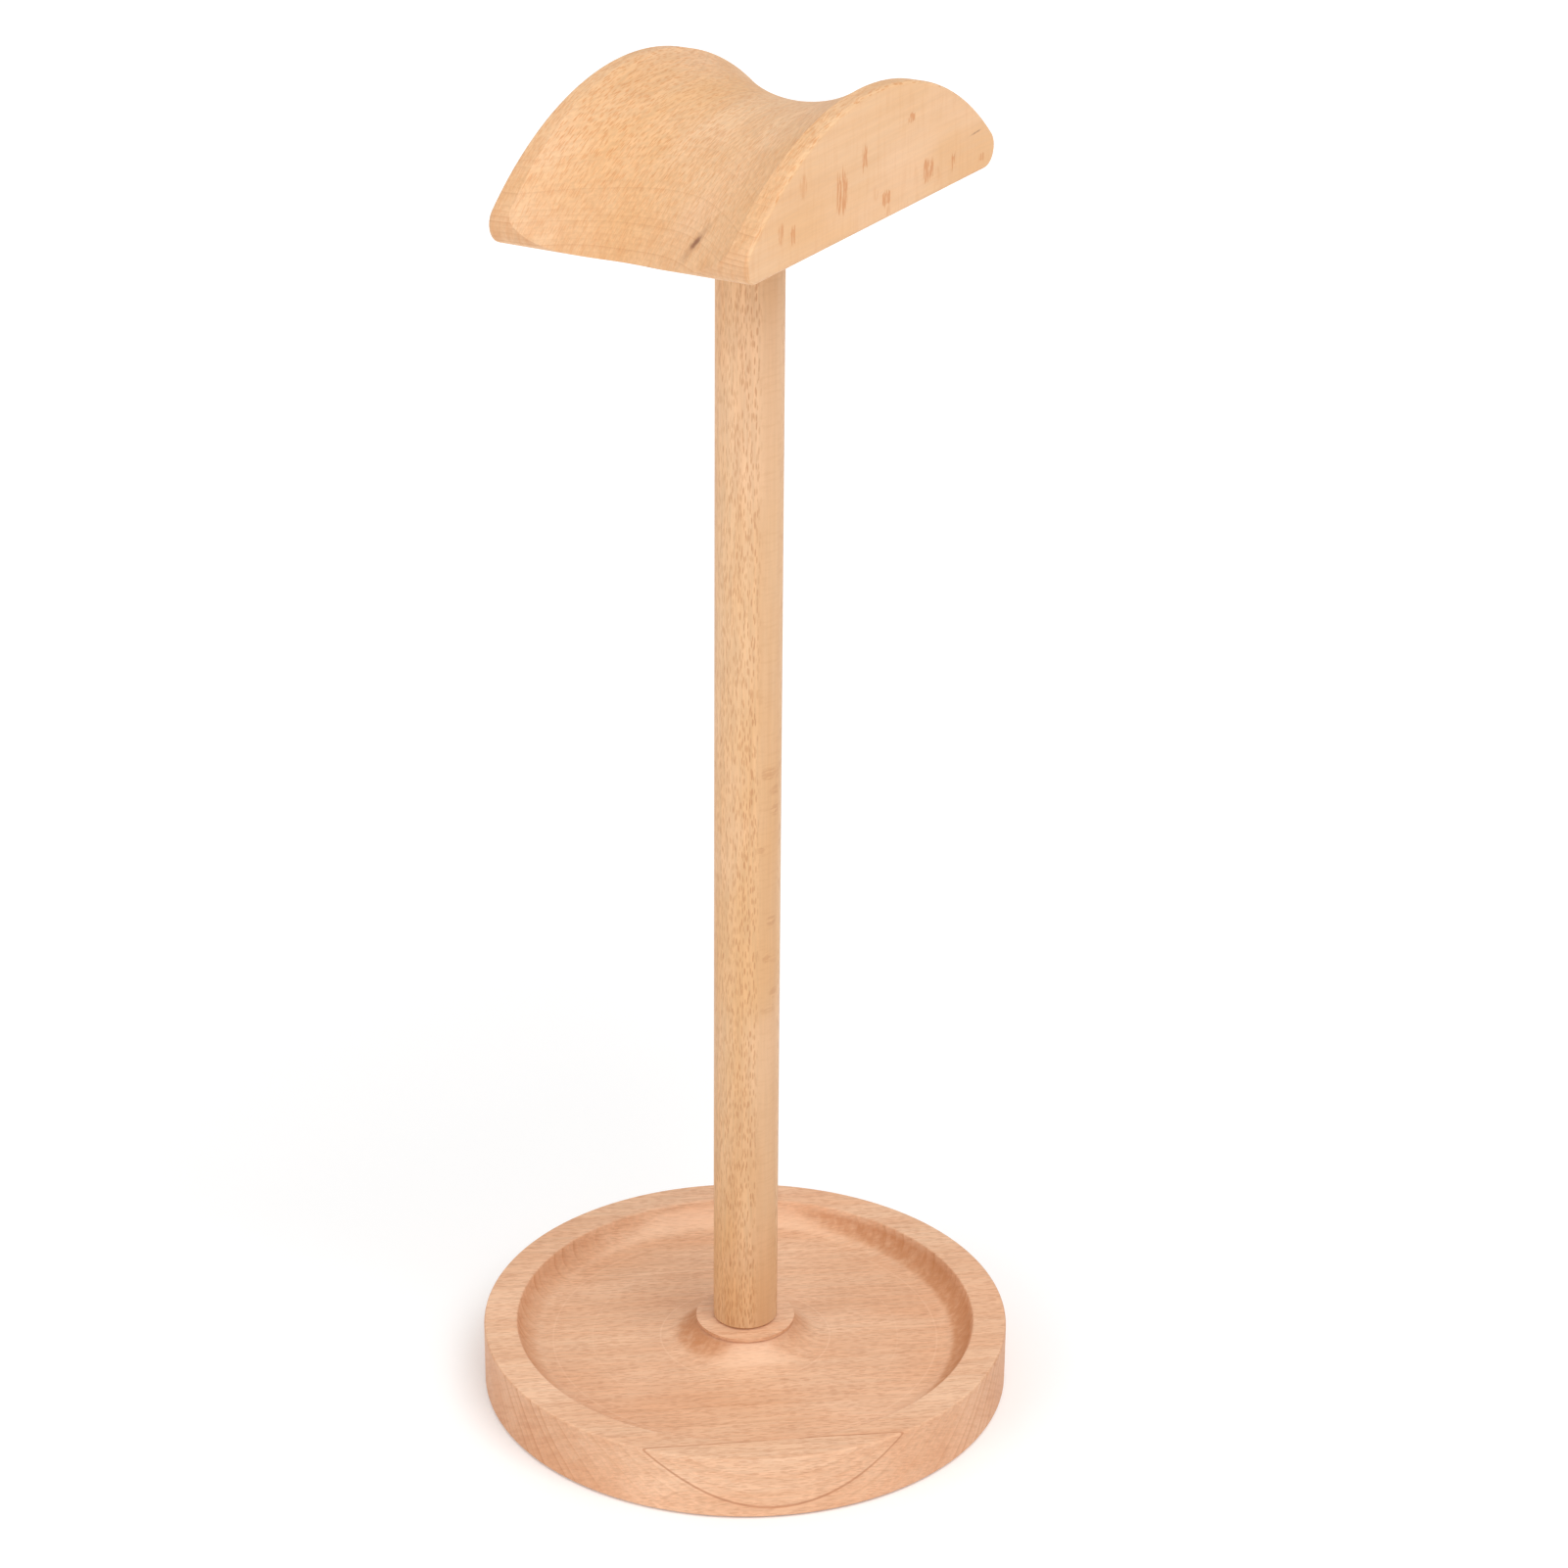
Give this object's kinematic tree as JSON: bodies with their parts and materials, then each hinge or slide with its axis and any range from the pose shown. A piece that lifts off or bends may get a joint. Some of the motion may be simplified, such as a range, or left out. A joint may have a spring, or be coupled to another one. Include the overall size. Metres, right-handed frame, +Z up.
{
  "type": "headphone stand",
  "caption": "Free-standing beech headphone stand: an arched, hollowed saddle on a slender post above a round base with a shallow accessory tray.",
  "frame": {"origin": "on the table, under the centre of the post, at the bottom of the foot pads", "axes": "+Z up along the post; +X along the saddle's arch, from one ear cup to the other; +Y across the headband, between the saddle's two end faces"},
  "size_m": [0.15, 0.15, 0.3815],
  "materials": {
    "saddle_beech": "sanded smooth, clear matt oil; grain along the arch with short dark ray flecks",
    "post_beech": "planed dowel, clear matt oil; upright grain with fine spindle flecks",
    "base_beech": "turned and sanded, clear matt oil; slightly pinker steamed beech",
    "zinc_steel": "bright zinc plate",
    "insert_alloy": "yellow zinc alloy, as cast",
    "pad_rubber": "soft black rubber"
  },
  "bodies": {
    "root": {"base_tray": "base_beech", "post": "post_beech", "saddle": "saddle_beech", "post_insert": "insert_alloy", "saddle_insert": "insert_alloy", "base_screw": "zinc_steel", "base_washer": "zinc_steel", "hanger_bolt": "zinc_steel", "foot_pad_1": "pad_rubber", "foot_pad_2": "pad_rubber", "foot_pad_3": "pad_rubber", "foot_pad_4": "pad_rubber"}
  },
  "joints": []
}
